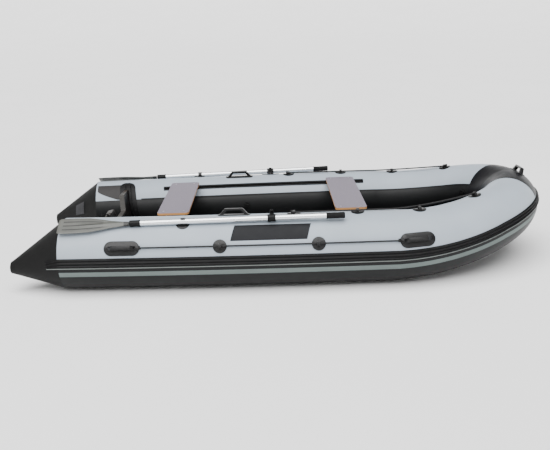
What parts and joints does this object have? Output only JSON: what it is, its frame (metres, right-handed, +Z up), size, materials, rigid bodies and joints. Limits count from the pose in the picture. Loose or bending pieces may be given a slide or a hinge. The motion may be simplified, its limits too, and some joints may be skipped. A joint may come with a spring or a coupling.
{
  "type": "inflatable dinghy",
  "caption": "Inflatable dinghy with round side tubes, tapered stern cones, plywood transom and floor, sliding seats, lifelines and stowed oars.",
  "frame": {"origin": "middle of the boat's length and beam, on the ground under the tubes", "axes": "+X towards the bow, +Y to port, +Z up"},
  "size_m": [3.5135, 1.6576, 0.5817],
  "materials": {
    "tube_fabric": "satin coated fabric",
    "seam_fabric": "satin",
    "stripe_fabric": "satin",
    "dark_panel": "matte coated fabric",
    "floor_fabric": "matte",
    "black_rubber": "matte",
    "rope": "braided cord",
    "plywood": "painted plywood",
    "seat_ply": "painted plywood with a clear edge",
    "aluminium": "satin anodised",
    "black_plastic": "moulded",
    "blade_plastic": "moulded",
    "trim_plastic": "moulded",
    "steel": "brushed"
  },
  "bodies": {
    "hull": {"bottom_skin": "floor_fabric", "bow_handle": "black_rubber", "bow_panel": "dark_panel", "bulkheads": "floor_fabric", "chamber_bow": "tube_fabric", "chamber_port": "tube_fabric", "chamber_starboard": "tube_fabric", "cone_caps": "black_rubber", "drain_body": "black_plastic", "floor_joiners": "aluminium", "floorboard_aft": "plywood", "floorboard_bow": "plywood", "floorboard_fore": "plywood", "floorboard_middle": "plywood", "keel_tube": "floor_fabric", "lifelines_side": "rope", "lifelines_top": "rope", "motor_pads": "black_plastic", "oar_holders": "black_rubber", "oarlock_bases": "black_rubber", "oarlock_pins": "black_plastic", "rub_strake": "black_rubber", "seam_tapes": "seam_fabric", "seat_rails": "black_rubber", "side_eyelets": "black_rubber", "side_handles": "black_rubber", "side_patches": "dark_panel", "side_stripes": "stripe_fabric", "stern_cones": "tube_fabric", "stern_patches": "dark_panel", "stringers": "aluminium", "top_eyelets": "black_rubber", "top_handles": "black_rubber", "tow_ring_pads": "black_rubber", "transom_board": "plywood", "transom_holders": "black_rubber", "transom_trim": "trim_plastic", "valve_bodies": "black_plastic"},
    "oar_port": {"oar_blade_port": "blade_plastic", "oar_collar_port": "black_plastic", "oar_grip_port": "black_rubber", "oar_neck_port": "black_plastic", "oar_shaft_port": "aluminium"},
    "oar_starboard": {"oar_blade_starboard": "blade_plastic", "oar_collar_starboard": "black_plastic", "oar_grip_starboard": "black_rubber", "oar_neck_starboard": "black_plastic", "oar_shaft_starboard": "aluminium"},
    "seat_aft": {"seat_aft": "seat_ply", "seat_aft_clips": "black_plastic", "seat_aft_screws": "steel"},
    "seat_fore": {"seat_fore": "seat_ply", "seat_fore_clips": "black_plastic", "seat_fore_screws": "steel"},
    "drain_plug": {"drain_plug": "black_plastic"},
    "valve_cap_port": {"valve_cap_port": "black_plastic"},
    "valve_cap_starboard": {"valve_cap_starboard": "black_plastic"},
    "valve_cap_bow": {"valve_cap_bow": "black_plastic"},
    "tow_ring_port": {"tow_ring_port": "steel"},
    "tow_ring_starboard": {"tow_ring_starboard": "steel"}
  },
  "joints": [
    {"name": "oar_swing_port", "type": "hinge", "parent": "hull", "child": "oar_port", "pos_m": [-0.08419, 0.62465, 0.44658], "axis": [-0.0069, 0.3419, 0.9397], "range_deg": [-120, 0]},
    {"name": "oar_swing_starboard", "type": "hinge", "parent": "hull", "child": "oar_starboard", "pos_m": [-0.08419, -0.62465, 0.44658], "axis": [-0.0069, -0.3419, 0.9397], "range_deg": [0, 120]},
    {"name": "seat_aft_slide", "type": "slide", "parent": "hull", "child": "seat_aft", "axis": [1, 0, 0], "range_m": [-0.08, 0.3]},
    {"name": "seat_fore_slide", "type": "slide", "parent": "hull", "child": "seat_fore", "axis": [1, 0, 0], "range_m": [-0.4, 0.09]},
    {"name": "drain_plug_pull", "type": "slide", "parent": "hull", "child": "drain_plug", "axis": [-0.9903, 0, -0.1392], "range_m": [0, 0.03]},
    {"name": "valve_cap_twist_port", "type": "hinge", "parent": "hull", "child": "valve_cap_port", "pos_m": [-0.26762, 0.362, 0.27561], "axis": [0.0257, -0.974, 0.225], "range_deg": [0, 90]},
    {"name": "valve_cap_twist_starboard", "type": "hinge", "parent": "hull", "child": "valve_cap_starboard", "pos_m": [-0.26762, -0.362, 0.27561], "axis": [0.0257, 0.974, 0.225], "range_deg": [0, 90]},
    {"name": "valve_cap_twist_bow", "type": "hinge", "parent": "hull", "child": "valve_cap_bow", "pos_m": [1.29953, 0.18453, 0.35322], "axis": [-0.7578, -0.6498, 0.0591], "range_deg": [0, 90]},
    {"name": "tow_ring_lift_port", "type": "hinge", "parent": "hull", "child": "tow_ring_port", "pos_m": [-1.52688, 0.42733, 0.27102], "axis": [0.8017, -0.4794, 0.3569], "range_deg": [0, 150]},
    {"name": "tow_ring_lift_starboard", "type": "hinge", "parent": "hull", "child": "tow_ring_starboard", "pos_m": [-1.52688, -0.42733, 0.27102], "axis": [0.8017, 0.4794, 0.3569], "range_deg": [-150, 0]}
  ]
}
